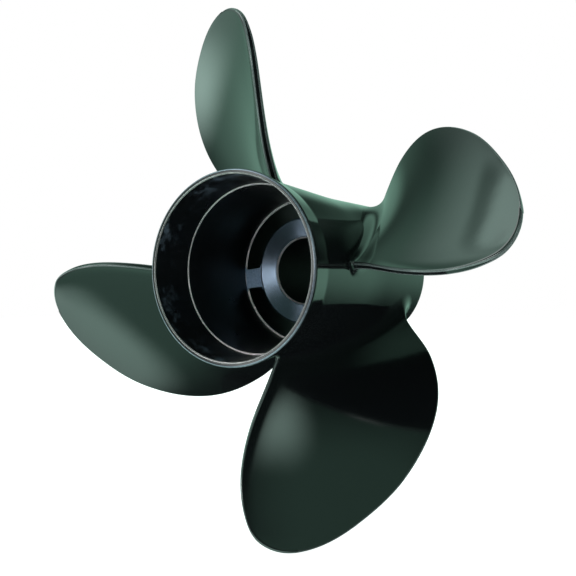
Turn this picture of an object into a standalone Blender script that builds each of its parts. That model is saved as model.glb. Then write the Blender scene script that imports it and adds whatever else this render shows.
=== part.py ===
"""Four-blade boat propeller of the outboard and sterndrive kind, with its exhaust through the hub.

Metres, +Z up. The shaft axis is Y: the boat's bow is towards +Y and the flared exhaust rim
towards -Y. The origin lies on the axis, in the plane of the inner hub's forward thrust face.
Stations are distances along the axis, counted forward from the exhaust rim.
Angles turn about the axis from +X towards +Z.
"""

import bisect
from math import asin, cos, pi, radians, sin, sqrt

import bmesh
import bpy
from mathutils import Matrix, Vector

# Overall sizes
BLADE_COUNT = 4
TIP_RADIUS = 0.174
THRUST_STATION = 0.170
GAP = 0.0003
CUT_OVERRUN = 0.020

# Hub barrel
RIM_RADIUS = 0.0605
RIM_ROUND = 0.0011
FLARE_STATION = 0.021
FLARE_RADIUS = 0.0573
WAIST_STATION = 0.102
WAIST_RADIUS = 0.0522
FRONT_STATION = 0.182
FRONT_RADIUS = 0.0512
FRONT_CHAMFER = 0.0025

# Exhaust passage inside the barrel
MOUTH_RADIUS = 0.0572
DIFFUSER_STATION = 0.0305
DIFFUSER_RADIUS = 0.0543
DIFFUSER_STEP = 0.0008
CORE_STATION = 0.0935
CORE_RADIUS = 0.0502
CORE_STEP = 0.0012
FRONT_WALL = 0.0035

# Inner hub
INNER_HUB_RADIUS = 0.0370
INNER_HUB_FRONT_RADIUS = 0.0350
WASHER_STATION = 0.0925
BORE_RADIUS = 0.0225
BORE_CHAMFER = 0.0010
INNER_HUB_CHAMFER = 0.0012

# Ribs between the inner hub and the barrel
RIB_COUNT = 3
FIRST_RIB_ANGLE = 66
RIB_WIDTH = 0.0135
RIB_REACH = 0.045
RIB_FRONT_STATION = 0.166

# Blades
PITCH = 0.574
PITCH_GAIN = 0.0104
RAKE = -0.504
RAKE_CURVE = 1.55
BLADE_STATION = 0.0543
ROOT_RADIUS = 0.0408
REFERENCE_RADIUS = 0.0479
ROOT_THICKNESS = 0.0100
TIP_THICKNESS = 0.0022
TRAILING_THICKNESS = 0.0040
LEADING_THICKNESS = 0.0018
CAMBER = 0.0041
CUP_DEPTH = 0.0031
CUP_SHARE = 0.14
TRAILING_FILLET = 0.0040
LEADING_FILLET = 0.0100
SECTION_FULLNESS = 0.8
TIP_TURN = 86

# Blade outline: radius, trailing edge angle and leading edge angle
OUTLINE = (
    (ROOT_RADIUS, 4.5, 58.5),
    (0.0675, 1.5, 55.5),
    (0.097, -1.5, 53.0),
    (0.126, -2.0, 46.0),
    (0.153, 0.0, 32.0),
    (0.166, 2.5, 21.0),
    (TIP_RADIUS, 9.0, 9.0),
)

# Mesh resolution
TURN_STEPS = 72
SPAN_STEPS = 22
CHORD_STEPS = 14
SHARP_ANGLE = 40
MERGE_DISTANCE = 0.00001

# Finishes
PAINT_COLOUR = (0.012, 0.018, 0.017, 1.0)
PAINT_ROUGHNESS = 0.15
INNER_COLOUR = (0.010, 0.013, 0.018, 1.0)
INNER_ROUGHNESS = 0.3

# Outer surface of the barrel, from the exhaust rim to the front end
BARREL_OUTSIDE = (
    (0.0, RIM_RADIUS - RIM_ROUND),
    (RIM_ROUND, RIM_RADIUS),
    (FLARE_STATION, FLARE_RADIUS),
    (WAIST_STATION, WAIST_RADIUS),
    (FRONT_STATION - FRONT_CHAMFER, FRONT_RADIUS),
    (FRONT_STATION, FRONT_RADIUS - FRONT_CHAMFER / 2),
)

# Wall of the exhaust passage, from the exhaust rim to the front end
BARREL_INSIDE = (
    (0.0, MOUTH_RADIUS + RIM_ROUND),
    (RIM_ROUND, MOUTH_RADIUS),
    (DIFFUSER_STATION, DIFFUSER_RADIUS),
    (DIFFUSER_STATION, DIFFUSER_RADIUS - DIFFUSER_STEP),
    (CORE_STATION, CORE_RADIUS),
    (CORE_STATION, CORE_RADIUS - CORE_STEP),
    (FRONT_STATION, FRONT_RADIUS - FRONT_WALL),
)


def clear_scene():
    for item in list(bpy.data.objects):
        bpy.data.objects.remove(item, do_unlink=True)


def make_collection(name):
    group = bpy.data.collections.new(name)
    bpy.context.scene.collection.children.link(group)
    return group


def make_material(name, colour, roughness):
    material = bpy.data.materials.new(name)
    material.use_nodes = True
    shader = material.node_tree.nodes["Principled BSDF"]
    shader.inputs["Base Color"].default_value = colour
    shader.inputs["Roughness"].default_value = roughness
    return material


def add_object(name, mesh, group, material=None):
    item = bpy.data.objects.new(name, mesh)
    group.objects.link(item)
    if material:
        mesh.materials.append(material)
    else:
        item.hide_render = True
        item.display_type = "WIRE"
    return item


def reading(points, value):
    """Height of the line through (position, height) points at a position."""
    positions = [point[0] for point in points]
    index = min(max(bisect.bisect_right(positions, value), 1), len(points) - 1)
    (low, start), (high, end) = points[index - 1], points[index]
    share = min(max((value - low) / (high - low), 0.0), 1.0)
    return start + (end - start) * share


def turned(name, profile, group, material=None):
    """Solid of revolution about Y from a closed loop of (station, radius) points.

    The loop runs forward along the outside and back along the inside.
    """
    mesh = bpy.data.meshes.new(name)
    work = bmesh.new()
    corners = [work.verts.new((radius, 0.0, station - THRUST_STATION)) for station, radius in profile]
    corners.reverse()
    for index, corner in enumerate(corners):
        follower = corners[(index + 1) % len(corners)]
        if corner.co.x > 0.0 or follower.co.x > 0.0:
            work.edges.new((corner, follower))
    work.to_mesh(mesh)
    work.free()
    item = add_object(name, mesh, group, material)
    screw = item.modifiers.new("Turn", "SCREW")
    screw.axis = "Z"
    screw.steps = TURN_STEPS
    screw.render_steps = TURN_STEPS
    screw.use_merge_vertices = True
    screw.merge_threshold = MERGE_DISTANCE
    item.rotation_euler = (-pi / 2, 0.0, 0.0)
    return item


def cut(item, cutter, operation="DIFFERENCE"):
    boolean = item.modifiers.new(cutter.name, "BOOLEAN")
    boolean.operation = operation
    boolean.solver = "EXACT"
    boolean.object = cutter


def grown(profile, margin):
    return [(station, radius + margin) for station, radius in profile]


def plug(profile, overrun):
    """Closed loop for a solid bar of the given outline, run past both its ends."""
    first, last = profile[0], profile[-1]
    loop = [(first[0] - overrun, 0.0), (first[0] - overrun, first[1])]
    loop += list(profile)
    loop += [(last[0] + overrun, last[1]), (last[0] + overrun, 0.0)]
    return loop


def make_barrel(group, material):
    turned("hub_barrel", list(BARREL_OUTSIDE) + list(reversed(BARREL_INSIDE)), group, material)


def inner_hub_outside():
    return [
        (WASHER_STATION, INNER_HUB_RADIUS - INNER_HUB_CHAMFER),
        (WASHER_STATION + INNER_HUB_CHAMFER, INNER_HUB_RADIUS),
        (THRUST_STATION - INNER_HUB_CHAMFER, INNER_HUB_FRONT_RADIUS),
        (THRUST_STATION, INNER_HUB_FRONT_RADIUS - INNER_HUB_CHAMFER),
    ]


def make_inner_hub(group, material):
    bore = [
        (THRUST_STATION, BORE_RADIUS + BORE_CHAMFER),
        (THRUST_STATION - BORE_CHAMFER, BORE_RADIUS),
        (WASHER_STATION + BORE_CHAMFER, BORE_RADIUS),
        (WASHER_STATION, BORE_RADIUS + BORE_CHAMFER),
    ]
    turned("inner_hub", inner_hub_outside() + bore, group, material)


def make_ribs(group, cutters, material):
    """Ribs that carry the inner hub inside the barrel."""
    core = turned("inner_hub_clearance", plug(grown(inner_hub_outside(), GAP), CUT_OVERRUN), cutters)
    passage = turned("barrel_clearance", plug(grown(BARREL_INSIDE[-2:], -GAP), 0.0), cutters)
    length = RIB_FRONT_STATION - CORE_STATION - GAP
    middle = (RIB_FRONT_STATION + CORE_STATION + GAP) / 2 - THRUST_STATION
    for number in range(RIB_COUNT):
        mesh = bpy.data.meshes.new(f"rib_{number + 1}")
        work = bmesh.new()
        size = Matrix.Diagonal((RIB_REACH, length, RIB_WIDTH, 1.0))
        place = Matrix.Translation((RIB_REACH / 2 + BORE_RADIUS, middle, 0.0))
        turn = Matrix.Rotation(-radians(FIRST_RIB_ANGLE) - number * 2 * pi / RIB_COUNT, 4, "Y")
        bmesh.ops.create_cube(work, size=1.0, matrix=turn @ place @ size)
        work.to_mesh(mesh)
        work.free()
        rib = add_object(f"rib_{number + 1}", mesh, group, material)
        cut(rib, passage, "INTERSECT")
        cut(rib, core)


def span_reach(radius):
    """Share of the way from the root to the tip."""
    return min(max((radius - ROOT_RADIUS) / (TIP_RADIUS - ROOT_RADIUS), 0.0), 1.0)


def span_turn(radius):
    """Position along the span, spaced so that a round tip closes smoothly."""
    return asin(span_reach(radius))


def edge_angle(radius, column):
    """Angle of one edge of the outline at a radius, on a smooth curve through OUTLINE."""
    knots = [span_turn(row[0]) for row in OUTLINE]
    values = [radians(row[column]) for row in OUTLINE]
    place = span_turn(radius)
    index = min(max(bisect.bisect_right(knots, place), 1), len(knots) - 1)
    low, high = index - 1, index
    before, after = max(low - 1, 0), min(high + 1, len(knots) - 1)
    width = knots[high] - knots[low]
    slope_low = (values[high] - values[before]) / (knots[high] - knots[before])
    slope_high = (values[after] - values[low]) / (knots[after] - knots[low])
    share = (place - knots[low]) / width
    bend = (1 - share) * (slope_low * width - (values[high] - values[low]))
    bend += share * ((values[high] - values[low]) - slope_high * width)
    return values[low] + share * (values[high] - values[low]) + share * (1 - share) * bend


def blend(first, last, share):
    return first + (last - first) * share


def chord_angle(radius, share):
    """Angle of a point on the blade; share runs from the trailing to the leading edge."""
    return blend(edge_angle(radius, 1), edge_angle(radius, 2), share)


def sweep_point(radius, angle):
    """Point on the raked screw surface that the blade follows."""
    reach = radius - REFERENCE_RADIUS
    forward = BLADE_STATION + PITCH * angle / (2 * pi) + PITCH_GAIN * angle ** 2
    forward += RAKE * reach + RAKE_CURVE * reach ** 2
    return Vector((radius * cos(angle), forward - THRUST_STATION, radius * sin(angle)))


def face_point(radius, share):
    """Point on the pressure face, which is hollow with a cup along the trailing edge."""
    point = sweep_point(radius, chord_angle(radius, share))
    depth = sqrt(max(sin(pi * span_reach(radius)), 0.0))
    point.y += CAMBER * depth * 4 * share * (1 - share)
    point.y -= CUP_DEPTH * depth * max(1 - share / CUP_SHARE, 0.0) ** 2
    return point


def sweep_normal(radius, share):
    """Unit vector across the screw surface, from the pressure side to the suction side."""
    angle = chord_angle(radius, share)
    step = 0.001
    along = sweep_point(radius, angle + step) - sweep_point(radius, angle - step)
    outward = sweep_point(radius + step, angle) - sweep_point(radius - step, angle)
    return along.cross(outward).normalized()


def thickness(radius, share):
    middle = blend(ROOT_THICKNESS, TIP_THICKNESS, span_reach(radius))
    edge = min(blend(TRAILING_THICKNESS, LEADING_THICKNESS, share), middle)
    return blend(edge, middle, sin(pi * share) ** SECTION_FULLNESS)


def fillet(point, share):
    """Extra metal beside a blade where it meets the barrel."""
    station = point.y + THRUST_STATION
    height = sqrt(point.x ** 2 + point.z ** 2) - reading(BARREL_OUTSIDE, station)
    size = blend(TRAILING_FILLET, LEADING_FILLET, share)
    rise = min(max(height, 0.0), size)
    return size - sqrt(size ** 2 - (size - rise) ** 2)


def blade_section(radius):
    """Closed loop round the blade at one radius: pressure face out, suction face back."""
    shares = [(1 - cos(pi * step / CHORD_STEPS)) / 2 for step in range(CHORD_STEPS + 1)]
    front, back = [], []
    for share in shares:
        point = face_point(radius, share)
        normal = sweep_normal(radius, share)
        extra = fillet(point, share)
        front.append(point - normal * extra)
        back.append(point + normal * (thickness(radius, share) + extra))
    return front + list(reversed(back))


def make_blade(number, group, cutter, material):
    turns = [radians(TIP_TURN) * step / SPAN_STEPS for step in range(SPAN_STEPS + 1)]
    radii = [ROOT_RADIUS + (TIP_RADIUS - ROOT_RADIUS) * sin(turn) for turn in turns]
    spin = Matrix.Rotation(-number * 2 * pi / BLADE_COUNT, 4, "Y")
    work = bmesh.new()
    loops = [[work.verts.new(spin @ point) for point in blade_section(radius)] for radius in radii]
    count = len(loops[0])
    for lower, upper in zip(loops, loops[1:]):
        for index in range(count):
            follower = (index + 1) % count
            work.faces.new((lower[index], lower[follower], upper[follower], upper[index]))
    work.faces.new(list(reversed(loops[0])))
    work.faces.new(loops[-1])
    bmesh.ops.triangulate(work, faces=work.faces[:])
    bmesh.ops.recalc_face_normals(work, faces=work.faces[:])
    mesh = bpy.data.meshes.new(f"blade_{number + 1}")
    work.to_mesh(mesh)
    work.free()
    mesh.shade_smooth()
    mesh.set_sharp_from_angle(angle=radians(SHARP_ANGLE))
    blade = add_object(f"blade_{number + 1}", mesh, group, material)
    cut(blade, cutter)


def make_blades(group, cutters, material):
    cutter = turned("barrel_outline", plug(grown(BARREL_OUTSIDE[2:], GAP), CUT_OVERRUN), cutters)
    for number in range(BLADE_COUNT):
        make_blade(number, group, cutter, material)


def main():
    clear_scene()
    group = make_collection("boat_propeller")
    cutters = make_collection("cutters")
    paint = make_material("gloss_black_paint", PAINT_COLOUR, PAINT_ROUGHNESS)
    inside = make_material("black_painted_inside", INNER_COLOUR, INNER_ROUGHNESS)
    make_barrel(group, paint)
    make_inner_hub(group, inside)
    make_ribs(group, cutters, inside)
    make_blades(group, cutters, paint)


main()
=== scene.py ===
"""Looks for the boat propeller, built around its packed frame.

Metres, +Z up. The shaft axis is Y, with the flared exhaust rim towards -Y. Stations are distances
along the axis, counted forward from the exhaust rim. Angles turn about the axis from +X towards +Z.
"""

from bisect import bisect_right
from math import asin, atan2, cos, hypot, pi, radians, sin, sqrt, tan, tau

import bmesh
import bpy
from bpy.props import FloatProperty, FloatVectorProperty, IntProperty, PointerProperty
from mathutils import Matrix, Vector


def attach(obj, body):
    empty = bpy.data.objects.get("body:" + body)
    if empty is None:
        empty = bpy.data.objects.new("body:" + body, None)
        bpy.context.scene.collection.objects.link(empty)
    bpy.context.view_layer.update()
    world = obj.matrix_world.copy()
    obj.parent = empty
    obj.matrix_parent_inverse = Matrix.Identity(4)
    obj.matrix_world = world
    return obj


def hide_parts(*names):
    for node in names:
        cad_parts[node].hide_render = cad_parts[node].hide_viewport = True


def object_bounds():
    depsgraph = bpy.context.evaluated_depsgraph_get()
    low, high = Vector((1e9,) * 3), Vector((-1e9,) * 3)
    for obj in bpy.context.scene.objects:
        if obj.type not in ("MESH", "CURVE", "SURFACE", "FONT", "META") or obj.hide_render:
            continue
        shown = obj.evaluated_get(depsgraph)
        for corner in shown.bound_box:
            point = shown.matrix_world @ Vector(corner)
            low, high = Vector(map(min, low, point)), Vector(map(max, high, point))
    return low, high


bl_info = {
    "name": "Boat propeller",
    "version": (1, 0, 0),
    "blender": (4, 5, 0),
    "location": "3D View > Sidebar > Propeller",
    "description": "Builds a cast boat propeller with a through-hub exhaust, and a studio round it",
    "category": "Add Mesh",
}

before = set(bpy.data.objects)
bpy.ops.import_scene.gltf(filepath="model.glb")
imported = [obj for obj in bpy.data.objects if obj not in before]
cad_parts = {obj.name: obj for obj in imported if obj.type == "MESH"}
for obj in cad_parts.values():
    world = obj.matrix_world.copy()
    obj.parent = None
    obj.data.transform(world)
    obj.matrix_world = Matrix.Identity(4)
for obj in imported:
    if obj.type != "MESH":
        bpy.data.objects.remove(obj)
CAD_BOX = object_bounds()
FLOOR_LEVEL = CAD_BOX[0].z - 0.0002

BODY = "root"
PAINT_SLOT = "gloss_black_paint"
INSIDE_SLOT = "black_painted_inside"
PAINT = "paint_over_casting"
INSIDE = "paint_inside_hub"
BORE = "bore_black"
TURNED = "turned_face"
CAST = "cast_face"
BARE = "bare_turned_edge"
RIM_LIP_RUBBED_AND_LIT = "worn_rim_paint"

# Stations along the shaft; the rim is widest at its crest
CREST_STATION = 0.0024
FLARE_STATION = 0.021
WAIST_STATION = 0.102
FRONT_STATION = 0.182
DIFFUSER_STATION = 0.0305
CORE_STATION = 0.0935
WASHER_STATION = 0.0925
RIB_FRONT_STATION = 0.166
THRUST_STATION = 0.170
# Where the rim lip's rubbed paint and painted highlight, the gloss paint in the mouth and the
# painted highlight streaks end, and how long the streaks fade
LIP_STATION = 0.0009
MOUTH_PAINT_STATION = 0.0020
STREAK_STATION = 0.024
STREAK_FADE = 0.022

# How much narrower the rim is at its end than at its crest
RIM_FALL = 0.0002
# Roundings of the barrel
CREST_ROUND = 0.0060
FLARE_ROUND = 0.030
WAIST_ROUND = 0.60
FRONT_INSIDE_ROUND = 0.0008
CHAMFER_ROUND = 0.0003
STEP_ROUND = 0.00025
# Roundings of the inner hub
AFT_ROUND = 0.0008
THRUST_ROUND = 0.0012
BORE_ROUND = 0.0002
# Plain margins beside the turned marks, next to the bore and next to the outer edge
BORE_MARGIN = 0.0006
OUTER_MARGIN = 0.0014
# How deep a rib's ends lie in the inner hub and in the barrel, and how long those ends are
RIB_FOOT_SINK = 0.0008
RIB_HEAD_SINK = 0.0004
RIB_FOOT_LENGTH = 0.0014
RIB_HEAD_LENGTH = 0.0006

# How far a finish reaches: over the rim's lip, beside a step, past an edge, behind the turned
# face and along a rib; and the share of the bore's chamfer that is bare
LIP_WIDTH = 0.0010
STEP_REACH = 0.0003
EDGE_REACH = 0.0001
FACE_REACH = 0.0006
RIB_END_REACH = 0.002
BARE_SHARE = 0.9

# Blade outline: radius, trailing edge angle and leading edge angle
ROOT_RADIUS = 0.0408
REFERENCE_RADIUS = 0.0479
BLADE_STATION = 0.0543
OUTLINE = (
    (ROOT_RADIUS, 4.5, 58.5),
    (0.0675, 1.5, 55.5),
    (0.097, -1.5, 53.0),
    (0.126, -2.0, 46.0),
    (0.153, 0.0, 32.0),
    (0.166, 2.5, 21.0),
    (0.1738, 9.0, 9.0),
)

# Mesh resolution
TURN_STEPS = 240
ARC_STEPS = 6
FILLET_ROWS = 14
SPAN_ROWS = 76
FACE_STEPS = 46
EDGE_STEPS = 5
MARK_STEPS = 4

# Straight stretch kept on both sides of a rounding, so that flats stay flat when shaded smooth
GUARD = 0.0004
# Width of the strip along a blade's edges where the paint is lighter: rubbed paint, and a painted
# highlight of the rounded edges
EDGE_RUB_AND_HIGHLIGHT = 0.0008
# Share of the thickness that a full rounding takes, and where the tip's full rounding begins
FULL_ROUND = 0.48
TIP_ROUND_FROM = 0.75
TIP_ROUND_SPAN = 0.22
# Largest share of the chord that the rounding of one edge takes
ROUND_SHARE = 0.25
# Flat beside the rounding of the trailing edge
FLAT_MARGIN = 0.0003


def size(name, text, value, low=0.0, high=1.0):
    """A length in metres that a user may change."""
    return FloatProperty(
        name=name, description=text, default=value, min=low, max=high, unit="LENGTH", precision=4
    )


def number(name, text, value, low=0.0, high=10.0):
    """A plain number that a user may change."""
    return FloatProperty(name=name, description=text, default=value, min=low, max=high)


def colour(name, text, value):
    """A colour that a user may change."""
    return FloatVectorProperty(
        name=name, description=text, default=value, min=0.0, max=1.0, size=3, subtype="COLOR"
    )


class HubSizes(bpy.types.PropertyGroup):
    """Sizes of the barrel, the inner hub and the ribs."""

    rim_radius: size("Rim radius", "Outside of the flared exhaust rim", 0.0605)
    rim_round: size("Rim rounding", "Rounding of the rim's lip", 0.0014)
    rim_chamfer: size("Rim chamfer", "Bare chamfer inside the rim's lip", 0.0006)
    flare_radius: size("Flare radius", "Outside of the barrel where its flare begins", 0.0573)
    waist_radius: size("Waist radius", "Outside of the barrel at its waist", 0.0522)
    front_radius: size("Front radius", "Outside of the barrel at its front end", 0.0512)
    front_round: size("Front rounding", "Rounding of the barrel's front end", 0.0020)
    mouth_radius: size("Mouth radius", "Inside of the exhaust rim", 0.0572)
    diffuser_radius: size("Diffuser radius", "Inside of the barrel before its first step", 0.0543)
    diffuser_step: size("Diffuser step", "Height of the first step", 0.0008)
    core_radius: size("Core radius", "Inside of the barrel before its second step", 0.0502)
    core_step: size("Core step", "Height of the second step", 0.0012)
    front_wall: size("Front wall", "Thickness of the barrel's wall at its front end", 0.0035)
    inner_radius: size("Inner hub radius", "Outside of the inner hub at its aft end", 0.0370)
    inner_front_radius: size("Inner hub front", "Outside of the inner hub at its front", 0.0350)
    bore_radius: size("Bore radius", "Bore that takes the drive bushing", 0.0225)
    bore_chamfer: size("Bore chamfer", "Chamfer at the ends of the bore", 0.0010)
    groove_pitch: size("Groove pitch", "Distance between the marks that turning left", 0.0006)
    groove_depth: size("Groove depth", "Depth of the marks that turning left", 0.000042)
    rib_count: IntProperty(name="Ribs", description="Ribs round the inner hub", default=3, min=1)
    rib_angle: FloatProperty(
        name="First rib", description="Angle of the first rib", default=radians(66), subtype="ANGLE"
    )
    rib_width: size("Rib width", "Width of a rib", 0.0135)
    rib_fillet: size("Rib fillet", "Fillets at both feet of a rib", 0.0022)


class BladeSizes(bpy.types.PropertyGroup):
    """Sizes of the blades."""

    count: IntProperty(name="Blades", description="Blades round the hub", default=4, min=1)
    pitch: size("Pitch", "Advance of the screw surface in one turn", 0.574)
    pitch_gain: size("Pitch gain", "Growth of the pitch towards the leading edge", 0.0104)
    rake: number("Rake", "Slope of the blade along the shaft", -0.504, -2.0, 2.0)
    rake_curve: number("Rake curve", "Growth of the rake towards the tip", 1.55)
    tip_radius: size("Tip radius", "Distance of the blade tips from the axis", 0.1738)
    root_thickness: size("Root thickness", "Thickness in the middle of the root", 0.0100)
    tip_thickness: size("Tip thickness", "Thickness at the tip", 0.0040)
    trailing_thickness: size("Trailing thickness", "Thickness of the trailing edge", 0.0052)
    leading_thickness: size("Leading thickness", "Thickness of the leading edge", 0.0018)
    trailing_round: size("Trailing rounding", "Rounding of the trailing edge", 0.0013)
    camber: size("Camber", "Hollow of the pressure face", 0.0032)
    cup_depth: size("Cup depth", "Depth of the cup at the trailing edge", 0.0026)
    cup_share: number("Cup share", "Share of the chord that is cupped", 0.14, 0.01, 1.0)
    lip_depth: size("Lip depth", "Part of the cup's depth in its turned-up lip", 0.0018)
    lip_width: size("Lip width", "Width of the turned-up lip", 0.0065)
    trailing_fillet: size("Trailing fillet", "Root fillet at the trailing edge", 0.0050)
    leading_fillet: size("Leading fillet", "Root fillet at the leading edge", 0.0130)


class Finishes(bpy.types.PropertyGroup):
    """Colours and gloss of the paint and of the bare edges."""

    paint: colour("Paint", "Gloss black paint", (0.0030, 0.0034, 0.0040))
    paint_sheen: colour("Paint sheen", "Tint of what the paint reflects", (0.94, 1.0, 0.97))
    paint_roughness: number("Paint roughness", "Roughness of the gloss paint", 0.09, 0.0, 1.0)
    # Lighter paint along the blade edges: rubbed paint, and a painted highlight of their rounding
    edge_rub_and_highlight: colour("Edge paint and highlight", "Paint rubbed thin along the edges, with a painted highlight of their rounding", (0.14, 0.165, 0.165))
    inside: colour("Inside paint", "Paint inside the hub", (0.0016, 0.0018, 0.0022))
    inside_roughness: number("Inside roughness", "Roughness of the inside paint", 0.30, 0.0, 1.0)
    inside_sheen: colour("Inside sheen", "Tint of what this paint reflects", (0.80, 0.90, 1.0))
    # Lighter bluish streaks behind the mouth: a painted highlight
    streak_highlight: colour("Painted streaks", "Painted highlight streaks on the wall behind the exhaust mouth", (0.10, 0.13, 0.17))
    bore: colour("Bore coating", "Dull coating in the bore", (0.002, 0.002, 0.003))
    face_dark: colour("Face, dark", "Darker coating of the turned face", (0.10, 0.135, 0.18))
    face_light: colour("Face, light", "Lighter coating of the turned face", (0.16, 0.205, 0.26))
    rib_dark: colour("Rib end, dark", "Darker coating of the rough rib ends", (0.10, 0.15, 0.23))
    rib_light: colour("Rib end, light", "Lighter coating of the rough rib ends", (0.36, 0.48, 0.68))
    # The lip colours are rubbed paint and a painted highlight of the rim's rounding
    lip_dark: colour("Lip, dark", "Darker mix of rubbed paint and painted highlight on the rim's outer rounding", (0.08, 0.09, 0.11))
    lip_light: colour("Lip, light", "Lighter mix of rubbed paint and painted highlight on the rim's outer rounding", (0.25, 0.28, 0.34))
    bare_edge: colour("Bare edge", "Turned edges where the paint is thin", (1.0, 0.90, 0.92))


class StudioSizes(bpy.types.PropertyGroup):
    """The studio and the camera."""

    floor_size: size("Floor size", "Width of the floor", 12.0, 1.0, 60.0)
    floor_colour: colour("Floor colour", "Pale floor", (0.93, 0.93, 0.93))
    surround: number("Surround", "Brightness of the dim surround that the paint reflects", 0.03)
    lens: number("Lens", "Focal length of the camera in millimetres", 58.1, 10.0, 300.0)


# Class of each group of settings, and its name on the scene
SETTINGS = (
    (HubSizes, "propeller_hub"),
    (BladeSizes, "propeller_blades"),
    (Finishes, "propeller_finish"),
    (StudioSizes, "propeller_studio"),
)


class Wire:
    """One socket of a node tree, so that sums on values read as sums."""

    def __init__(self, tree, socket):
        self.tree = tree
        self.socket = socket

    def _sum(self, operation, *values):
        return self.tree.add("ShaderNodeMath", {"operation": operation}, dict(enumerate(values)))

    def __add__(self, other):
        return self._sum("ADD", self, other)

    def __sub__(self, other):
        return self._sum("SUBTRACT", self, other)

    def __mul__(self, other):
        return self._sum("MULTIPLY", self, other)

    def __truediv__(self, other):
        return self._sum("DIVIDE", self, other)

    def __radd__(self, other):
        return self._sum("ADD", other, self)

    def __rsub__(self, other):
        return self._sum("SUBTRACT", other, self)

    def __rmul__(self, other):
        return self._sum("MULTIPLY", other, self)

    def __rtruediv__(self, other):
        return self._sum("DIVIDE", other, self)

    def clamped(self):
        return self._sum("MINIMUM", self._sum("MAXIMUM", self, 0.0), 1.0)

    def power(self, exponent):
        return self._sum("POWER", self, exponent)


class Tree:
    """A node tree with one way to add a node."""

    def __init__(self, tree):
        self.tree = tree

    def add(self, kind, settings=None, values=None, output=0):
        """Adds a node; values are numbers, colours or Wires, by socket name or index."""
        node = self.tree.nodes.new(kind)
        for name, value in (settings or {}).items():
            setattr(node, name, value)
        for key, value in (values or {}).items():
            socket = node.inputs[key]
            if isinstance(value, Wire):
                self.tree.links.new(value.socket, socket)
            else:
                socket.default_value = value
        return Wire(self, node.outputs[output]) if node.outputs else None

    def part(self, wire, name):
        """Another output of the node that a Wire comes from."""
        return Wire(self, wire.socket.node.outputs[name])


class Finish(Tree):
    """A surface material, with the textures that its colours and bumps are made from."""

    def __init__(self, name):
        self.material = bpy.data.materials.new(name)
        self.material.use_nodes = True
        self.material.node_tree.nodes.clear()
        super().__init__(self.material.node_tree)
        self.place = self.part(self.add("ShaderNodeTexCoord"), "Object")

    def noise(self, scale, detail=3.0, roughness=0.5):
        values = {"Vector": self.place, "Scale": scale, "Detail": detail, "Roughness": roughness}
        return self.add("ShaderNodeTexNoise", {}, values)

    def attribute(self, name):
        source = self.add("ShaderNodeAttribute", {"attribute_name": name})
        return self.part(source, "Fac")

    def mixed(self, share, first, second):
        """A colour between two colours."""
        values = {0: share, 6: first, 7: second}
        return self.add("ShaderNodeMix", {"data_type": "RGBA"}, values, 2)

    def bump(self, height, distance, under=None):
        values = {"Strength": 1.0, "Distance": distance, "Height": height}
        if under:
            values["Normal"] = under
        return self.add("ShaderNodeBump", {}, values)

    def surface(self, **values):
        """The closing shader; names are its sockets, with underscores for spaces."""
        named = {name.replace("_", " "): value for name, value in values.items()}
        shader = self.add("ShaderNodeBsdfPrincipled", {}, named)
        self.add("ShaderNodeOutputMaterial", {}, {"Surface": shader})
        return self.material


def opaque(value):
    return (*value, 1.0)


# Textures below take their scale in waves for each metre, and bump heights are in metres


def gloss_paint(finish):
    """Gloss black paint with a faint green cast, over cast metal, lighter along the edges: rubbed
    paint and a painted highlight.
    """
    tree = Finish(PAINT)
    cloud = tree.noise(14.0, 4.0)
    grain = tree.noise(900.0, 2.0)
    edge = tree.attribute("edge")
    # Lighter near the edges: rubbed paint, and a painted highlight of the rounded edges
    thin = (edge * (0.35 + 0.65 * grain)).clamped()
    waves = tree.bump(tree.noise(60.0, 2.0), 0.00003)
    peel = tree.bump(tree.noise(620.0, 1.0), 0.0000025, waves)
    return tree.surface(
        Base_Color=tree.mixed(thin, opaque(finish.paint), opaque(finish.edge_rub_and_highlight)),
        Roughness=finish.paint_roughness + 0.03 * (cloud - 0.5) + 0.02 * (grain - 0.5),
        Normal=peel,
        Specular_Tint=opaque(finish.paint_sheen),
        Specular_IOR_Level=0.62,
    )


def inside_paint(finish):
    """Satin black paint over the rougher cast wall inside the hub, with painted highlight streaks
    behind the mouth.
    """
    tree = Finish(INSIDE)
    cloud = tree.noise(40.0, 5.0, 0.6)
    grain = tree.noise(1400.0, 3.0)
    blotches = tree.bump(tree.noise(95.0, 4.0, 0.6), 0.00022)
    lighter = tuple(1.8 * part for part in finish.inside)
    paint = tree.mixed(grain.clamped(), opaque(finish.inside), opaque(lighter))
    forward = tree.add("ShaderNodeSeparateXYZ", {}, {0: tree.place}, 1)
    # Painted highlight streaks near the mouth, fading away from the rim
    near_mouth = ((STREAK_STATION - THRUST_STATION - forward) / STREAK_FADE).clamped()
    streaks = ((tree.noise(70.0, 6.0, 0.7) - 0.54) * 9.0).clamped()
    streak_highlight = near_mouth * streaks * grain.clamped()
    return tree.surface(
        Base_Color=tree.mixed(streak_highlight, paint, opaque(finish.streak_highlight)),
        Roughness=finish.inside_roughness + 0.16 * (cloud - 0.5),
        Normal=tree.bump(grain, 0.00002, blotches),
        Specular_Tint=opaque(finish.inside_sheen),
    )


def bore_black(finish):
    """Dull black coating in the bore."""
    tree = Finish(BORE)
    grain = tree.noise(700.0, 3.0)
    return tree.surface(
        Base_Color=tree.mixed(grain, opaque(finish.inside), opaque(finish.bore)),
        Roughness=0.55 + 0.2 * (grain - 0.5),
        Specular_IOR_Level=0.05,
    )


def turned_paint(finish):
    """Thin dark coating over the turned face of the inner hub."""
    tree = Finish(TURNED)
    cloud = tree.noise(60.0, 4.0, 0.6)
    grain = tree.noise(1800.0, 2.0)
    return tree.surface(
        Base_Color=tree.mixed(cloud, opaque(finish.face_dark), opaque(finish.face_light)),
        Roughness=0.16 + 0.10 * (grain - 0.5),
        Metallic=0.9,
        Normal=tree.bump(grain, 0.000008),
    )


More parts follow.
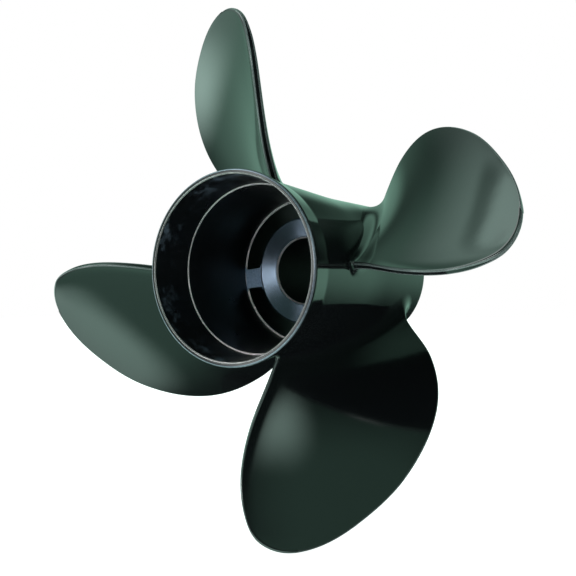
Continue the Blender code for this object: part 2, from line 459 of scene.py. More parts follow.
def cast_face(finish):
    """Rough cast end of a rib, where the coating is thin and bluish."""
    tree = Finish(CAST)
    grain = tree.noise(900.0, 4.0, 0.6)
    return tree.surface(
        Base_Color=tree.mixed(grain, opaque(finish.rib_dark), opaque(finish.rib_light)),
        Roughness=0.42 + 0.2 * (grain - 0.5),
        Metallic=0.5,
        Normal=tree.bump(grain, 0.00012),
    )


def bare_edge(finish):
    """Turned edges where the paint is thin and the metal shows."""
    tree = Finish(BARE)
    grain = tree.noise(1200.0, 3.0)
    dull = tuple(0.7 * part for part in finish.bare_edge)
    return tree.surface(
        Base_Color=tree.mixed(grain, opaque(finish.bare_edge), opaque(dull)),
        Roughness=0.46 + 0.2 * (grain - 0.5),
        Metallic=0.95,
    )


def rim_lip_rubbed_and_lit_finish(finish):
    """Thin paint on the outer rounding of the rim, where the metal greys it, and a painted
    highlight of the rounding in its lighter colour.
    """
    tree = Finish(RIM_LIP_RUBBED_AND_LIT)
    grain = tree.noise(800.0, 3.0)
    return tree.surface(
        Base_Color=tree.mixed(grain, opaque(finish.lip_dark), opaque(finish.lip_light)),
        Roughness=0.26 + 0.1 * (grain - 0.5),
        Metallic=0.6,
    )


def material(name):
    """A finish by name, made at its first use."""
    found = bpy.data.materials.get(name)
    if found:
        return found
    return FINISHES[name](bpy.context.scene.propeller_finish)


FINISHES = {
    PAINT: gloss_paint,
    INSIDE: inside_paint,
    BORE: bore_black,
    TURNED: turned_paint,
    CAST: cast_face,
    BARE: bare_edge,
    RIM_LIP_RUBBED_AND_LIT: rim_lip_rubbed_and_lit_finish,
}


class Shape(Tree):
    """A geometry node tree with named inputs, which ends in Realize Instances and Set Material."""

    def __init__(self, name):
        super().__init__(bpy.data.node_groups.new(name, "GeometryNodeTree"))
        self.sockets = {}
        self.given = self.tree.nodes.new("NodeGroupInput")
        self.blank = self.input("Geometry", "NodeSocketGeometry")

    def input(self, name, kind="NodeSocketFloat"):
        socket = self.tree.interface.new_socket(name=name, in_out="INPUT", socket_type=kind)
        self.sockets[name] = socket.identifier
        return Wire(self, self.given.outputs[name])

    def finish(self, geometry):
        self.tree.interface.new_socket(
            name="Geometry", in_out="OUTPUT", socket_type="NodeSocketGeometry"
        )
        paint = self.input("Material", "NodeSocketMaterial")
        real = self.add("GeometryNodeRealizeInstances", {}, {0: geometry})
        painted = self.add("GeometryNodeSetMaterial", {}, {"Geometry": real, "Material": paint})
        self.add("NodeGroupOutput", {}, {"Geometry": painted})

    def run(self, item, **values):
        """Runs the tree on an object and keeps the result as its plain mesh."""
        modifier = item.modifiers.new(self.tree.name, "NODES")
        modifier.node_group = self.tree
        for name, value in values.items():
            modifier[self.sockets[name.replace("_", " ")]] = value
        graph = bpy.context.evaluated_depsgraph_get()
        result = bpy.data.meshes.new_from_object(item.evaluated_get(graph))
        item.modifiers.clear()
        item.data = result
        return item


def turning_shape():
    """Turns a closed outline about the shaft, as on a lathe."""
    shape = Shape("turned_about_shaft")
    steps = shape.input("Steps", "NodeSocketInt")
    radius = shape.input("Path Radius")
    outline = shape.add("GeometryNodeMeshToCurve", {}, {0: shape.blank})
    path = shape.add(
        "GeometryNodeCurvePrimitiveCircle", {}, {"Resolution": steps, "Radius": radius}
    )
    swept = shape.add("GeometryNodeCurveToMesh", {}, {0: path, 1: outline})
    upright = {"Geometry": swept, "Rotation": (pi / 2, 0.0, 0.0)}
    shape.finish(shape.add("GeometryNodeTransform", {}, upright))
    return shape


def repeating_shape():
    """Repeats one piece round the shaft."""
    shape = Shape("repeated_round_shaft")
    count = shape.input("Count", "NodeSocketInt")
    first = shape.input("First Angle")
    spots = shape.add("GeometryNodeMeshLine", {}, {"Count": count, "Offset": (0.0, 0.0, 0.0)})
    angle = first + shape.add("GeometryNodeInputIndex") * (tau / count)
    turn = {"Axis": (0.0, -1.0, 0.0), "Angle": angle}
    turned = shape.add("FunctionNodeAxisAngleToRotation", {}, turn)
    placed = {"Points": spots, "Instance": shape.blank, "Rotation": turned}
    shape.finish(shape.add("GeometryNodeInstanceOnPoints", {}, placed))
    return shape


def new_object(name, mesh):
    item = bpy.data.objects.new(name, mesh)
    bpy.context.scene.collection.objects.link(item)
    return item


def loop_object(name, points):
    """A closed outline of (x, y) points, as edges alone."""
    mesh = bpy.data.meshes.new(name)
    count = len(points)
    edges = [(index, (index + 1) % count) for index in range(count)]
    mesh.from_pydata([(x, y, 0.0) for x, y in points], edges, [])
    return new_object(name, mesh)


def dressed(item, slot_name, *nodes):
    """Puts a finished piece on its body, in place of its CAD nodes."""
    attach(item, BODY)
    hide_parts(*nodes)
    return item


def skin(work, lower, upper):
    """Faces between two closed loops of corners."""
    count = len(lower)
    for index in range(count):
        after = (index + 1) % count
        work.faces.new((lower[index], lower[after], upper[after], upper[index]))


def arc(centre, start, end, steps):
    """Points on the short arc from start to end."""
    first = atan2(start.y - centre.y, start.x - centre.x)
    turn = atan2(end.y - centre.y, end.x - centre.x) - first
    turn = (turn + pi) % tau - pi
    reach = (start - centre).length
    angles = [first + turn * step / steps for step in range(steps + 1)]
    return [centre + reach * Vector((cos(angle), sin(angle))) for angle in angles]


def softened(corners, closed=True):
    """Rounds each corner of a line of (station, radius, rounding) corners."""
    points = []
    count = len(corners)
    for index, (station, radius, rounding) in enumerate(corners):
        corner = Vector((station, radius))
        if rounding == 0.0 or (not closed and index in (0, count - 1)):
            points.append(corner)
            continue
        back = (Vector(corners[index - 1][:2]) - corner).normalized()
        onward = (Vector(corners[(index + 1) % count][:2]) - corner).normalized()
        half = back.angle(onward) / 2
        start = corner + back * (rounding / tan(half))
        end = corner + onward * (rounding / tan(half))
        centre = corner + (back + onward).normalized() * (rounding / sin(half))
        points.append(start + back * GUARD)
        points += arc(centre, start, end, ARC_STEPS)
        points.append(end + onward * GUARD)
    return points


def turned(name, line):
    """Solid of revolution about the shaft from a closed line of (station, radius) points."""
    path = sum(point.y for point in line) / len(line) / 2
    outline = [(point.y - path, point.x - THRUST_STATION) for point in line]
    item = loop_object(name, outline)
    return turning_shape().run(
        item, Steps=TURN_STEPS, Path_Radius=path, Material=material(INSIDE)
    )


def smoothed(item):
    """Turns faces outwards and shades them smooth."""
    work = bmesh.new()
    work.from_mesh(item.data)
    bmesh.ops.recalc_face_normals(work, faces=work.faces[:])
    work.to_mesh(item.data)
    work.free()
    item.data.shade_smooth()
    return item


def repaint(item, names, choose):
    """Gives a piece several finishes; choose names one from a face's station and radius."""
    item.data.materials.clear()
    for name in names:
        item.data.materials.append(material(name))
    for face in item.data.polygons:
        centre = face.center
        chosen = choose(centre.y + THRUST_STATION, hypot(centre.x, centre.z))
        face.material_index = names.index(chosen)


def barrel_outside(hub):
    """Outer surface of the barrel, from the rim to the front end."""
    return [
        (0.0, hub.rim_radius - RIM_FALL, hub.rim_round),
        (CREST_STATION, hub.rim_radius, CREST_ROUND),
        (FLARE_STATION, hub.flare_radius, FLARE_ROUND),
        (WAIST_STATION, hub.waist_radius, WAIST_ROUND),
        (FRONT_STATION, hub.front_radius, hub.front_round),
    ]


def barrel_inside(hub):
    """Wall of the exhaust passage, from the front end to the rim."""
    chamfer = hub.rim_chamfer
    return [
        (FRONT_STATION, hub.front_radius - hub.front_wall, FRONT_INSIDE_ROUND),
        (CORE_STATION, hub.core_radius - hub.core_step, STEP_ROUND),
        (CORE_STATION, hub.core_radius, STEP_ROUND),
        (DIFFUSER_STATION, hub.diffuser_radius - hub.diffuser_step, STEP_ROUND),
        (DIFFUSER_STATION, hub.diffuser_radius, STEP_ROUND),
        (chamfer, hub.mouth_radius, CHAMFER_ROUND),
        (0.0, hub.mouth_radius + chamfer, CHAMFER_ROUND),
    ]


def build_barrel(hub):
    """The hub barrel, with the bare edges of its mouth and of the steps inside it."""
    item = smoothed(turned("hub_barrel_cast", softened(barrel_outside(hub) + barrel_inside(hub))))
    outside = barrel_line(hub)
    steps = ((DIFFUSER_STATION, hub.diffuser_radius), (CORE_STATION, hub.core_radius))
    chamfer = hub.rim_chamfer

    def choose(station, radius):
        if any(abs(station - place) < STEP_REACH and radius < wall for place, wall in steps):
            return BARE
        if station < chamfer + 2 * EDGE_REACH and radius < hub.mouth_radius + chamfer:
            return BARE
        # Outer rounding of the rim's lip: rubbed paint with a painted highlight
        if station < LIP_STATION and radius > hub.rim_radius - LIP_WIDTH:
            return RIM_LIP_RUBBED_AND_LIT
        wall_middle = reading(outside, station) - hub.front_wall / 2
        return PAINT if station < MOUTH_PAINT_STATION or radius > wall_middle else INSIDE

    repaint(item, (PAINT, INSIDE, BARE, RIM_LIP_RUBBED_AND_LIT), choose)
    return dressed(item, PAINT_SLOT, "hub_barrel")


def barrel_line(hub):
    """Outer surface of the barrel as (station, radius) points, in order of station."""
    return [(point.x, point.y) for point in softened(barrel_outside(hub), closed=False)]


def reading(line, value):
    """Height of the line through (position, height) points at a position."""
    index = min(max(bisect_right(line, (value, 0.0)), 1), len(line) - 1)
    (low, start), (high, end) = line[index - 1], line[index]
    share = min(max((value - low) / (high - low), 0.0), 1.0) if high > low else 0.0
    return start + (end - start) * share


def grooves(hub, first, last):
    """Turned marks across the aft face, as points from one radius to another."""
    steps = max(int(abs(last - first) / hub.groove_pitch * MARK_STEPS), 1)
    radii = [first + (last - first) * step / steps for step in range(1, steps)]
    depth = hub.groove_depth
    return [
        Vector((WASHER_STATION + depth * (1 - cos(tau * radius / hub.groove_pitch)), radius))
        for radius in radii
    ]


def build_inner_hub(hub):
    """The ring round the shaft bore, with its turned aft face."""
    chamfer = hub.bore_chamfer
    rim = hub.bore_radius + chamfer
    corners = [
        (WASHER_STATION, hub.inner_radius, AFT_ROUND),
        (THRUST_STATION, hub.inner_front_radius, THRUST_ROUND),
        (THRUST_STATION, rim, BORE_ROUND),
        (THRUST_STATION - chamfer, hub.bore_radius, BORE_ROUND),
        (WASHER_STATION + chamfer, hub.bore_radius, BORE_ROUND),
        (WASHER_STATION, rim, BORE_ROUND),
    ]
    marks = grooves(hub, rim + BORE_MARGIN, hub.inner_radius - OUTER_MARGIN)
    item = smoothed(turned("inner_hub_cast", softened(corners) + marks))

    def choose(station, radius):
        if station < WASHER_STATION + chamfer and radius < hub.bore_radius + chamfer * BARE_SHARE:
            return BARE
        if radius < hub.bore_radius + EDGE_REACH:
            return BORE
        return TURNED if station < WASHER_STATION + FACE_REACH else INSIDE

    repaint(item, (INSIDE, TURNED, BARE, BORE), choose)
    return dressed(item, INSIDE_SLOT, "inner_hub")


def rib_outline(hub):
    """Cross-section of a rib that lies along +X, with fillets at both feet."""
    half, fillet = hub.rib_width / 2, hub.rib_fillet
    foot = hub.inner_radius - RIB_FOOT_SINK
    head = hub.core_radius - hub.core_step + RIB_HEAD_SINK
    corners = [
        (foot - RIB_FOOT_LENGTH, -half - fillet, 0.0),
        (foot, -half - fillet, 0.0),
        (foot + fillet * 0.1, -half, fillet * 0.9),
        (head - fillet * 0.1, -half, fillet * 0.9),
        (head, -half - fillet, 0.0),
        (head + RIB_HEAD_LENGTH, -half - fillet, 0.0),
    ]
    mirrored = [(x, -y, rounding) for x, y, rounding in reversed(corners)]
    return softened(corners + mirrored)


def rib_mesh(hub):
    """Mesh of one rib that lies along +X, with a soft edge round its aft end."""
    outline = rib_outline(hub)
    soft = 0.0006
    aft = WASHER_STATION + soft
    levels = [(aft, soft), (aft + 0.0002, soft * 0.3), (aft + soft, 0.0), (RIB_FRONT_STATION, 0.0)]
    middle = Vector((hub.inner_radius + 0.006, 0.0))
    work = bmesh.new()
    rings = []
    for station, inset in levels:
        ring = []
        for point in outline:
            shrink = 1.0 - inset / max((point - middle).length, inset)
            x, z = middle + (point - middle) * shrink
            ring.append(work.verts.new((x, station - THRUST_STATION, z)))
        rings.append(ring)
    for lower, upper in zip(rings, rings[1:]):
        skin(work, lower, upper)
    work.faces.new(rings[0])
    work.faces.new(list(reversed(rings[-1])))
    bmesh.ops.triangulate(work, faces=[face for face in work.faces if len(face.verts) > 4])
    mesh = bpy.data.meshes.new("ribs_cast")
    work.to_mesh(mesh)
    work.free()
    return mesh


def build_ribs(hub):
    """The ribs: one in mesh code, which the node tree repeats round the shaft."""
    item = new_object("ribs_cast", rib_mesh(hub))
    repeating_shape().run(
        item, Count=hub.rib_count, First_Angle=hub.rib_angle, Material=material(CAST)
    )
    smoothed(item)
    item.data.set_sharp_from_angle(angle=radians(50))

    def choose(station, radius):
        return CAST if station <= WASHER_STATION + RIB_END_REACH else INSIDE

    repaint(item, (CAST, INSIDE), choose)
    nodes = [f"rib_{index + 1}" for index in range(hub.rib_count)]
    return dressed(item, INSIDE_SLOT, *nodes)


def blend(first, last, share):
    return first + (last - first) * share


class BladeShape:
    """Places points on a blade from its sizes."""

    def __init__(self, sizes, hub):
        self.sizes = sizes
        self.barrel = barrel_line(hub)
        self.knots = [self.span_turn(row[0]) for row in OUTLINE]

    def span_reach(self, radius):
        """Share of the way from the root to the tip."""
        return min(max((radius - ROOT_RADIUS) / (self.sizes.tip_radius - ROOT_RADIUS), 0.0), 1.0)

    def span_turn(self, radius):
        return asin(self.span_reach(radius))

    def edge_angle(self, radius, column):
        """Angle of one edge of the outline at a radius, on a smooth curve through OUTLINE."""
        knots = self.knots
        values = [radians(row[column]) for row in OUTLINE]
        place = self.span_turn(radius)
        high = min(max(bisect_right(knots, place), 1), len(knots) - 1)
        low = high - 1
        before, after = max(low - 1, 0), min(high + 1, len(knots) - 1)
        width, rise = knots[high] - knots[low], values[high] - values[low]
        slope_low = (values[high] - values[before]) / (knots[high] - knots[before])
        slope_high = (values[after] - values[low]) / (knots[after] - knots[low])
        share = (place - knots[low]) / width
        bend = (1 - share) * (slope_low * width - rise) + share * (rise - slope_high * width)
        return values[low] + share * rise + share * (1 - share) * bend

    def sweep(self, radius, angle):
        """Point on the raked screw surface that the blade follows."""
        sizes = self.sizes
        reach = radius - REFERENCE_RADIUS
        forward = BLADE_STATION + sizes.pitch * angle / tau + sizes.pitch_gain * angle**2
        forward += sizes.rake * reach + sizes.rake_curve * reach**2
        return Vector((radius * cos(angle), forward - THRUST_STATION, radius * sin(angle)))

    def across(self, radius, angle):
        """Unit vector across the screw surface, from the pressure side to the suction side."""
        sizes = self.sizes
        advance = sizes.pitch / tau + 2 * sizes.pitch_gain * angle
        along = Vector((-radius * sin(angle), advance, radius * cos(angle)))
        slope = sizes.rake + 2 * sizes.rake_curve * (radius - REFERENCE_RADIUS)
        outward = Vector((cos(angle), slope, sin(angle)))
        return along.cross(outward).normalized()

    def chord(self, radius):
        turn = self.edge_angle(radius, 2) - self.edge_angle(radius, 1)
        return max(turn * hypot(radius, self.sizes.pitch / tau), 1e-6)

    def hollow(self, radius, share):
        """Forward shift of the face: hollow in its middle, with a cup at the trailing edge.

        The cup ends in a turned-up lip, which fades towards the tip.
        """
        sizes = self.sizes
        share = min(max(share, 0.0), 1.0)
        reach = self.span_reach(radius)
        depth = max(sin(pi * reach), 0.0) ** 0.7
        shift = sizes.camber * 4 * share * (1 - share)
        cup = (sizes.cup_depth - sizes.lip_depth) * max(1 - share / sizes.cup_share, 0.0) ** 2
        distance = share * self.chord(radius) * self.lean(radius, 1)
        lip = sizes.lip_depth * (1 - reach**6) * max(1 - distance / sizes.lip_width, 0.0) ** 2
        return depth * (shift - cup - lip)

    def thickness(self, radius, share):
        sizes = self.sizes
        share = min(max(share, 0.0), 1.0)
        middle = blend(sizes.root_thickness, sizes.tip_thickness, self.span_reach(radius))
        edge = min(blend(sizes.trailing_thickness, sizes.leading_thickness, share), middle)
        return blend(edge, middle, sin(pi * share) ** 0.9)

    def lean(self, radius, column):
        """Cosine of the slant of one edge of the outline; 1 where it runs straight outwards."""
        step = 0.00002
        inner = min(radius, self.sizes.tip_radius - 2 * step)
        turn = self.edge_angle(inner + step, column) - self.edge_angle(inner - step, column)
        return 1 / hypot(1, hypot(inner, self.sizes.pitch / tau) * turn / (2 * step))

    def rounding(self, radius, column):
        """Rounding radius of one edge, which becomes a full round at the tip."""
        if column == 2:
            return FULL_ROUND * self.thickness(radius, 1.0)
        full = FULL_ROUND * self.thickness(radius, 0.0)
        rise = (self.span_reach(radius) - TIP_ROUND_FROM) / TIP_ROUND_SPAN
        rise = min(max(rise, 0.0), 1.0)
        return blend(min(self.sizes.trailing_round, full), full, rise * rise * (3 - 2 * rise))

    def inset(self, radius, along):
        """Rounding of the edges: how far the face falls back, and how near the edge it is."""
        chord = self.chord(radius)
        share = min(max(along / chord, 0.0), 1.0)
        column = 1 if share < 0.5 else 2
        near = share if column == 1 else 1 - share
        distance = self.lean(radius, column) * near * (1 - near) * chord
        curve = self.rounding(radius, column)
        inside = min(distance, curve)
        fall = curve - sqrt(max(curve**2 - (curve - inside) ** 2, 0.0))
        return fall, max(1 - distance / EDGE_RUB_AND_HIGHLIGHT, 0.0)

    def loop_point(self, radius, zone, share):
        """Point on half a loop round the blade: (along, off, way along, way off, edge)."""
        chord = self.chord(radius)
        most = ROUND_SHARE * chord
        back = min(self.rounding(radius, 1) / self.lean(radius, 1), most)
        front = min(self.rounding(radius, 2) / self.lean(radius, 2), most)
        turn = pi / 2 * share
        if zone == "flat":
            middle = self.thickness(radius, 0.0) / 2
            return 0.0, min(self.rounding(radius, 1) + FLAT_MARGIN, middle), -1.0, 0.0, 0.0
        if zone == "trailing":
            along, way = back * (1 - cos(turn)), (-cos(turn), -sin(turn))
        elif zone == "leading":
            along, way = chord - front * (1 - sin(turn)), (sin(turn), -cos(turn))
        else:
            along, way = blend(back, chord - front, (1 - cos(pi * share)) / 2), (0.0, -1.0)
        fall, edge = self.inset(radius, along)
        return along, fall, *way, edge

    def place(self, radius, along, off, upper):
        """Point at a distance along the chord and off either face."""
        share = along / self.chord(radius)
        angle = blend(self.edge_angle(radius, 1), self.edge_angle(radius, 2), share)
        point = self.sweep(radius, angle)
        point.y += self.hollow(radius, share)
        height = self.thickness(radius, share) - off if upper else off
        return point + self.across(radius, angle) * height

    def root_point(self, zone, share, upper, turn):
        """Point on the root fillet, which meets the barrel smoothly at turn 0.

        The lighter edge, rubbed paint and painted highlight, fades over the fillet's upper half and
        ends there.
        """
        radius = reading(self.barrel, WAIST_STATION)
        for _ in range(4):
            along, off, way_along, way_off, edge = self.loop_point(radius, zone, share)
            nearness = min(max(along / self.chord(radius), 0.0), 1.0)
            curve = blend(self.sizes.trailing_fillet, self.sizes.leading_fillet, sqrt(nearness))
            spread = curve * (1 - sin(turn))
            point = self.place(radius, along + way_along * spread, off + way_off * spread, upper)
            wanted = reading(self.barrel, point.y + THRUST_STATION) + curve * (1 - cos(turn))
            radius += wanted - hypot(point.x, point.z)
        # The painted edge highlight and rubbed paint fade out down the fillet
        edge_rub_and_light = edge * max(4 * turn / pi - 1, 0.0)
        return point, edge_rub_and_light, radius

    def rows(self):
        """Loops of (point, edge) round the blade, from the root fillet to the tip."""
        half = [("flat", 0.0)]
        half += [("trailing", step / EDGE_STEPS) for step in range(EDGE_STEPS + 1)]
        half += [("face", step / FACE_STEPS) for step in range(1, FACE_STEPS)]
        half += [("leading", step / EDGE_STEPS) for step in range(EDGE_STEPS + 1)]
        loop = [(*spot, False) for spot in half] + [(*spot, True) for spot in reversed(half)]
        rows = []
        for row in range(FILLET_ROWS + 1):
            turn = pi / 2 * row / FILLET_ROWS
            rows.append([self.root_point(*spot, turn) for spot in loop])
        tops = [spot[2] for spot in rows[-1]]
        for row in range(1, SPAN_ROWS + 1):
            reach = sin(pi / 2 * row / SPAN_ROWS)
            points = []
            for (zone, share, upper), top in zip(loop, tops):
                radius = blend(top, self.sizes.tip_radius, reach)
                along, off, _, _, edge = self.loop_point(radius, zone, share)
                points.append((self.place(radius, along, off, upper), edge))
            rows.append(points)
        return rows


def blade_mesh(rows):
    """Mesh of one blade from its loops, closed at the sole under the barrel's skin."""
    work = bmesh.new()
    # The edge attribute lightens the paint: rubbed paint, and a painted highlight of the rounded
    # edges
    rubbed_and_lit = work.verts.layers.float.new("edge")
    loops = []
    for row in rows:
        loop = []
        for spot in row:
            corner = work.verts.new(spot[0])
            corner[rubbed_and_lit] = spot[1]
            loop.append(corner)
        loops.append(loop)
    for lower, upper in zip(loops, loops[1:]):
        skin(work, lower, upper)
    root = loops[0]
    count = len(root)
    for index in range(count // 2 - 1):
        far = count - 1 - index
        work.faces.new((root[index + 1], root[index], root[far], root[far - 1]))
    for index in range(count):
        work.edges.get((root[index], root[(index + 1) % count])).smooth = False
    bmesh.ops.remove_doubles(work, verts=work.verts[:], dist=0.000004)
    bmesh.ops.dissolve_degenerate(work, edges=work.edges[:], dist=0.000001)
    bmesh.ops.recalc_face_normals(work, faces=work.faces[:])
    for face in work.faces:
        face.smooth = True
    mesh = bpy.data.meshes.new("blades_cast")
    work.to_mesh(mesh)
    work.free()
    return mesh


def build_blades(sizes, hub):
    """The blades: one in mesh code, which the node tree repeats round the shaft."""
    item = new_object("blades_cast", blade_mesh(BladeShape(sizes, hub).rows()))
    repeating_shape().run(item, Count=sizes.count, First_Angle=0.0, Material=material(PAINT))
    nodes = [f"blade_{index + 1}" for index in range(sizes.count)]
    return dressed(item, PAINT_SLOT, *nodes)


class PROPELLER_OT_barrel(bpy.types.Operator):
    """Builds the hub barrel with its flared rim and the steps inside it"""

    bl_idname = "propeller.barrel"
    bl_label = "Hub barrel"

    def execute(self, context):
        build_barrel(context.scene.propeller_hub)
        return {"FINISHED"}


class PROPELLER_OT_inner_hub(bpy.types.Operator):
    """Builds the inner hub with its bore and its turned face"""

    bl_idname = "propeller.inner_hub"
    bl_label = "Inner hub"

    def execute(self, context):
        build_inner_hub(context.scene.propeller_hub)
        return {"FINISHED"}


class PROPELLER_OT_ribs(bpy.types.Operator):
    """Builds the ribs that carry the inner hub inside the barrel"""

    bl_idname = "propeller.ribs"
    bl_label = "Ribs"

    def execute(self, context):
        build_ribs(context.scene.propeller_hub)
        return {"FINISHED"}


class PROPELLER_OT_blades(bpy.types.Operator):
    """Builds the blades with their root fillets and rounded edges"""

    bl_idname = "propeller.blades"
    bl_label = "Blades"

    def execute(self, context):
        build_blades(context.scene.propeller_blades, context.scene.propeller_hub)
        return {"FINISHED"}


# Soft lights: name, place, width, height and power
LIGHTS = (
    ("light_below", (0.3, 1.7, -1.9), 1.2, 0.9, 6.0),
    ("light_side", (1.9, -0.9, -1.8), 0.9, 0.9, 5.0),
)
# Tints of the light in the surround
GREEN = (0.53, 1.0, 0.78)
PALE = (0.75, 1.0, 0.92)
WHITE = (1.0, 1.0, 1.02)
# Soft panels of the surround: azimuth and elevation, half sizes and roll in degrees, softness of
# the edge, strength and tint. A panel of negative strength is a flag, which takes light away.
PANELS = (
    ((-156.0, 18.0), (24.0, 32.0), 0.0, 0.60, 1.0, PALE),
    ((-166.0, -21.5), (7.0, 18.0), 43.0, 0.85, 3.6, PALE),
    ((-159.0, 52.0), (19.0, 16.0), 0.0, 0.90, 1.45, PALE),
    ((-163.0, 42.0), (5.0, 11.0), 10.0, 0.20, 1.0, PALE),
    ((-173.0, 44.0), (3.5, 8.0), 0.0, 0.50, -1.0, PALE),
    ((-198.0, 50.0), (22.0, 18.0), 0.0, 0.50, 0.32, GREEN),
    ((-99.0, -41.0), (27.0, 16.5), 0.0, 0.28, 2.3, PALE),
    ((-132.0, -74.0), (46.0, 28.0), 0.0, 0.30, 0.68, GREEN),
    ((-29.0, 24.5), (9.5, 8.0), 0.0, 0.90, 2.4, PALE),
    ((-74.0, 31.0), (38.0, 27.0), 0.0, 0.45, 0.46, GREEN),
    ((165.0, -12.0), (32.0, 26.0), 0.0, 0.60, 0.70, GREEN),
    ((158.0, 35.0), (34.0, 40.0), 0.0, 0.45, 0.10, GREEN),
    ((86.0, 3.0), (30.0, 16.5), 0.0, 0.60, 0.68, GREEN),
    ((124.0, 14.0), (20.0, 14.0), 0.0, 0.30, 0.34, GREEN),
    ((102.0, 47.0), (24.0, 14.0), 0.0, 0.25, 0.5, GREEN),
    ((-121.0, 0.0), (5.0, 32.0), 0.0, 0.50, 3.2, WHITE),
    ((-92.0, 4.0), (16.0, 5.0), 0.0, 0.50, 9.0, WHITE),
    ((-148.0, 3.0), (10.0, 9.0), 0.0, 0.50, 2.0, WHITE),
    ((-126.0, 50.0), (16.0, 13.0), 0.0, 0.50, 3.0, WHITE),
    ((96.0, -48.0), (26.0, 16.0), 0.0, 0.35, 0.8, PALE),
    ((-60.0, 84.0), (20.0, 20.0), 0.0, 0.60, 0.25, GREEN),
)
# Roll is in degrees, and the shift of the lens is a share of the picture's width
CAMERA_PLACE = (0.3226, -0.6350, -0.0194)
CAMERA_TARGET = (-0.0063, -0.0895, 0.0433)
CAMERA_ROLL = -0.43
CAMERA_SHIFT = -0.14
OBJECT_MIDDLE = Vector((0.0, -0.08, 0.0))


def build_floor(studio):
    """The pale floor, which glows by itself and takes no shadow."""
    half = studio.floor_size / 2
    ways = ((-1, -1), (1, -1), (1, 1), (-1, 1))
    mesh = bpy.data.meshes.new("floor")
    mesh.from_pydata([(half * x, half * y, FLOOR_LEVEL) for x, y in ways], [], [(0, 1, 2, 3)])
    floor = new_object("floor", mesh)
    pale = opaque(studio.floor_colour)
    finish = Finish("pale_floor")
    mesh.materials.append(
        finish.surface(Base_Color=pale, Roughness=0.9, Emission_Color=pale, Emission_Strength=1.0)
    )
    floor.visible_glossy = False
    floor.visible_shadow = False


def build_lights():
    for name, place, width, height, power in LIGHTS:
        lamp = bpy.data.lights.new(name, "AREA")
        lamp.shape = "RECTANGLE"
        lamp.size, lamp.size_y, lamp.energy = width, height, power
        item = bpy.data.objects.new(name, lamp)
        item.location = place
        item.visible_glossy = False
        item.rotation_euler = (OBJECT_MIDDLE - Vector(place)).to_track_quat("-Z", "Y").to_euler()
        bpy.context.scene.collection.objects.link(item)


def direction(azimuth, elevation):
    """Unit vector at an azimuth and an elevation in degrees."""
    flat = cos(radians(elevation))
    turn = radians(azimuth)
    return Vector((flat * cos(turn), flat * sin(turn), sin(radians(elevation))))


class Surround(Tree):
    """The world: soft panels, each a patch of light in some direction."""

    def __init__(self, world):
        super().__init__(world.node_tree)
        self.way = self.part(self.add("ShaderNodeTexCoord"), "Generated")

    def along(self, axis):
        """How far the direction that is looked in runs along an axis."""
        settings = {"operation": "DOT_PRODUCT"}
        return self.add("ShaderNodeVectorMath", settings, {0: self.way, 1: axis}, 1)

    def panel(self, place, halves, roll, soft, strength, tint):
        """Light of one oval panel, which fades over its edge."""
        axis = direction(*place)
        level = axis.cross(Vector((0.0, 0.0, 1.0))).normalized()
        side = Matrix.Rotation(radians(roll), 3, axis) @ level
        across = self.along(side) / sin(radians(halves[0]))
        rise = self.along(side.cross(axis)) / sin(radians(halves[1]))
        reach = (across * across + rise * rise).power(0.5)
        share = ((1.0 + soft - reach) / (2.0 * soft)).clamped()
        # The sums above make a second panel on the far side, which is cut off here
        ahead = (self.along(axis) * 6.0).clamped()
        glow = share * share * (3.0 - 2.0 * share) * ahead * strength
        return self.add("ShaderNodeVectorMath", {"operation": "SCALE"}, {0: tint, "Scale": glow})


def build_surround(studio):
    """A white ground behind the object, and soft panels for what the paint reflects."""
    world = bpy.data.worlds.new("studio")
    world.use_nodes = True
    world.node_tree.nodes.clear()
    tree = Surround(world)
    light = [studio.surround * part for part in GREEN]
    for panel in PANELS:
        sources = {0: light, 1: tree.panel(*panel)}
        light = tree.add("ShaderNodeVectorMath", {"operation": "ADD"}, sources)
    seen = tree.part(tree.add("ShaderNodeLightPath"), "Is Camera Ray")
    ground = {0: seen, 6: light, 7: (1.0, 1.0, 1.0, 1.0)}
    shown = tree.add("ShaderNodeMix", {"data_type": "RGBA"}, ground, 2)
    sky = tree.add("ShaderNodeBackground", {}, {"Color": shown})
    tree.add("ShaderNodeOutputWorld", {}, {"Surface": sky})
    bpy.context.scene.world = world


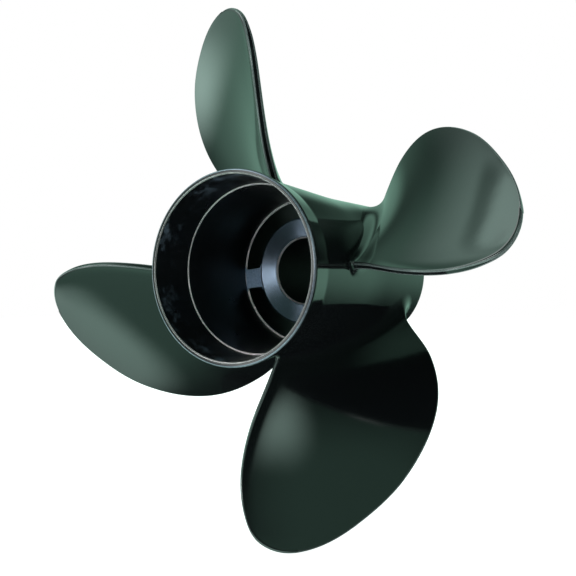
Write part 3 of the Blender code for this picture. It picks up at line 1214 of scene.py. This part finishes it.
def build_camera(studio):
    lens = bpy.data.cameras.new("camera")
    lens.lens = studio.lens
    lens.shift_y = CAMERA_SHIFT
    lens.clip_start = 0.01
    camera = bpy.data.objects.new("camera", lens)
    way = Vector(CAMERA_TARGET) - Vector(CAMERA_PLACE)
    aim = way.to_track_quat("-Z", "Y").to_matrix().to_4x4()
    roll = Matrix.Rotation(radians(CAMERA_ROLL), 4, "Z")
    camera.matrix_world = Matrix.Translation(CAMERA_PLACE) @ aim @ roll
    bpy.context.scene.collection.objects.link(camera)
    bpy.context.scene.camera = camera


class PROPELLER_OT_studio(bpy.types.Operator):
    """Builds the floor, the lights, the surround and the camera"""

    bl_idname = "propeller.studio"
    bl_label = "Studio"

    def execute(self, context):
        studio = context.scene.propeller_studio
        build_floor(studio)
        build_lights()
        build_surround(studio)
        build_camera(studio)
        context.scene.view_settings.view_transform = "Standard"
        return {"FINISHED"}


OPERATORS = (
    PROPELLER_OT_barrel,
    PROPELLER_OT_inner_hub,
    PROPELLER_OT_ribs,
    PROPELLER_OT_blades,
    PROPELLER_OT_studio,
)


class PROPELLER_PT_parts(bpy.types.Panel):
    """Lists the settings and the operators"""

    bl_idname = "PROPELLER_PT_parts"
    bl_label = "Boat propeller"
    bl_space_type = "VIEW_3D"
    bl_region_type = "UI"
    bl_category = "Propeller"

    def draw(self, context):
        for operator in OPERATORS:
            self.layout.operator(operator.bl_idname)
        for kind, name in SETTINGS:
            box = self.layout.box()
            box.label(text=kind.__doc__)
            for setting in kind.__annotations__:
                box.prop(getattr(context.scene, name), setting)


def register():
    for kind, name in SETTINGS:
        bpy.utils.register_class(kind)
        setattr(bpy.types.Scene, name, PointerProperty(type=kind))
    for kind in (*OPERATORS, PROPELLER_PT_parts):
        bpy.utils.register_class(kind)


def unregister():
    for kind in (PROPELLER_PT_parts, *reversed(OPERATORS)):
        bpy.utils.unregister_class(kind)
    for kind, name in reversed(SETTINGS):
        delattr(bpy.types.Scene, name)
        bpy.utils.unregister_class(kind)


def main():
    register()
    for operator in OPERATORS:
        group, name = operator.bl_idname.split(".")
        getattr(getattr(bpy.ops, group), name)()


if __name__ == "__main__":
    main()
